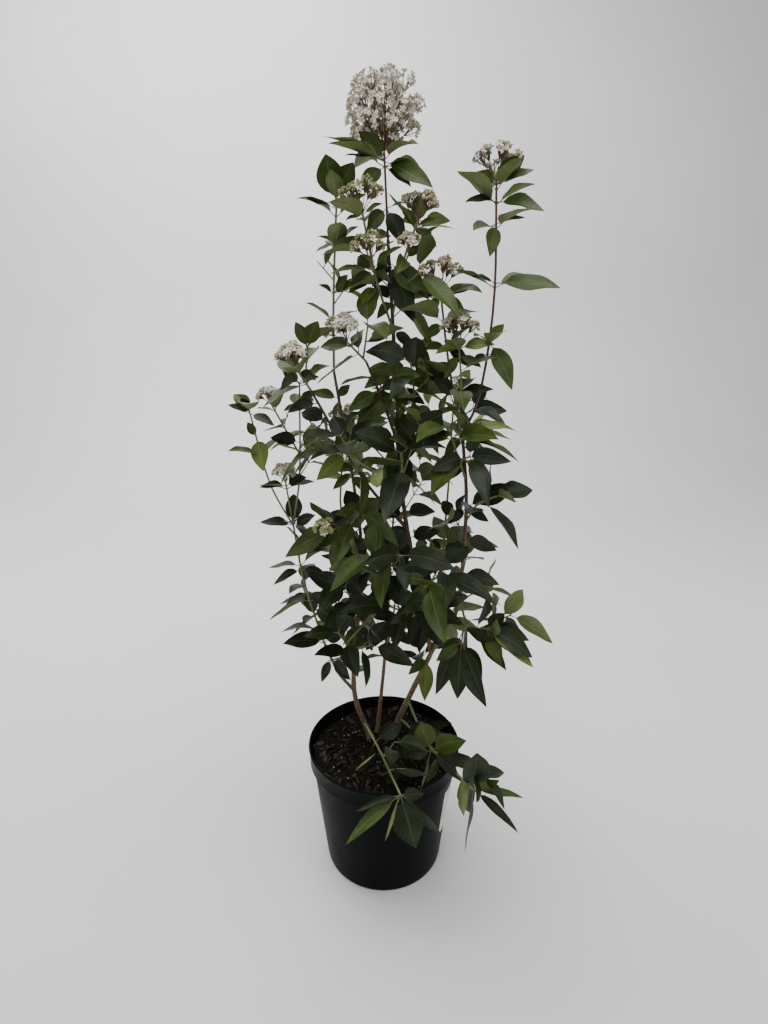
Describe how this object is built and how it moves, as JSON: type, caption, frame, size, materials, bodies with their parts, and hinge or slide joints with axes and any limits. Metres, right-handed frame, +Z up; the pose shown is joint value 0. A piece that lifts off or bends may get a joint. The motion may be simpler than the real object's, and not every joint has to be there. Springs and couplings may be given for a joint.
{
  "type": "potted laurustinus",
  "caption": "Evergreen flowering shrub with several stems, paired leaves and round flower heads, standing in a black nursery pot.",
  "frame": {"origin": "centre of the pot's flat underside", "axes": "+Z up, towards the top flower head; +X to the right as seen from the front; -Y towards the front"},
  "size_m": [0.3399, 0.31, 0.8695],
  "materials": {
    "pot_plastic": "matt black moulded plastic",
    "soil": "loose dark potting compost",
    "bark": "thin brown bark",
    "foliage": "soft green leaves and twigs with small flower heads"
  },
  "bodies": {
    "root": {"pot": "pot_plastic", "potting_soil": "soil", "right_stem": "bark", "left_stem": "bark", "middle_stem": "bark", "main_stem": "bark", "right_bough": "bark", "left_tall_bough": "bark", "left_bough": "bark", "diagonal_bough": "bark", "centre_bough": "bark", "back_left_bough": "bark", "back_right_bough": "bark", "crown_head": "foliage", "upper_left_foliage": "foliage", "upper_right_foliage": "foliage", "left_tall_foliage": "foliage", "right_tall_foliage": "foliage", "right_heads_foliage": "foliage", "left_diagonal_foliage": "foliage", "left_centre_foliage": "foliage", "left_shoot_foliage": "foliage", "centre_front_foliage": "foliage", "centre_left_foliage": "foliage", "left_middle_foliage": "foliage", "right_middle_foliage": "foliage", "right_inner_foliage": "foliage", "right_side_foliage": "foliage", "lower_left_foliage": "foliage", "lower_left_upper_foliage": "foliage", "lower_centre_foliage": "foliage", "centre_low_front_foliage": "foliage", "centre_low_right_foliage": "foliage", "lower_right_foliage": "foliage", "front_low_foliage": "foliage", "front_rim_foliage": "foliage", "right_rim_foliage": "foliage", "back_centre_foliage": "foliage", "back_left_foliage": "foliage", "back_right_foliage": "foliage", "back_low_left_foliage": "foliage", "back_low_right_foliage": "foliage", "back_low_centre_foliage": "foliage"}
  },
  "joints": []
}
